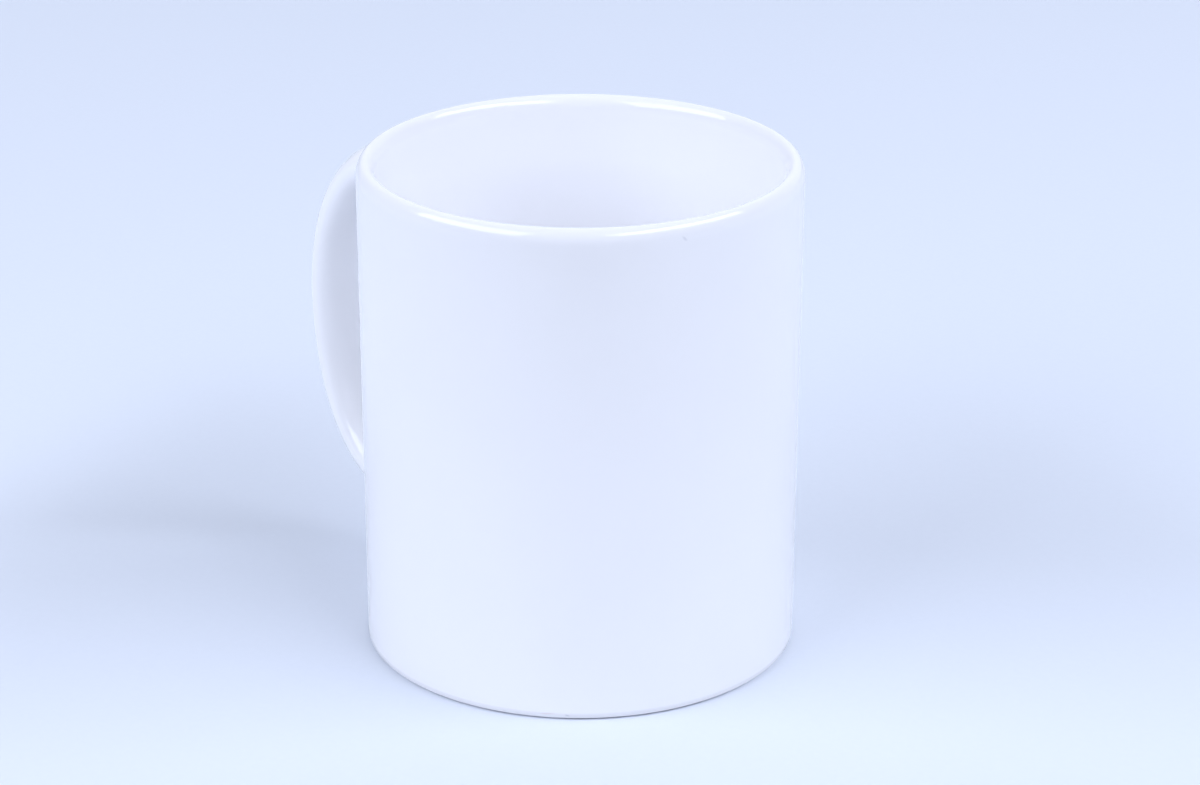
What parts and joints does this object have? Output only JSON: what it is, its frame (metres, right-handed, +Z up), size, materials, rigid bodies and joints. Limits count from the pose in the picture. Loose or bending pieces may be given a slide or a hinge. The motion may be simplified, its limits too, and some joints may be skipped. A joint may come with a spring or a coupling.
{
  "type": "ceramic mug blank",
  "caption": "Straight-sided glazed ceramic mug with a D-shaped strap handle, coated so that a mug heat press can print on it.",
  "frame": {"origin": "centre of the foot ring, on the surface that the mug stands on", "axes": "+Z up along the cup's axis, towards the mouth; +X towards the handle; +Y completes a right-handed frame"},
  "size_m": [0.116, 0.082, 0.094],
  "materials": {
    "bisque": "matte",
    "slip": "gloss",
    "handle_glaze": "gloss",
    "glaze": "gloss",
    "print_coating": "gloss"
  },
  "bodies": {
    "root": {"cup_body": "bisque", "handle": "handle_glaze", "upper_slip_joint": "slip", "lower_slip_joint": "slip", "liner_glaze": "glaze", "wall_glaze": "glaze", "base_glaze": "glaze", "print_coating": "print_coating"}
  },
  "joints": []
}
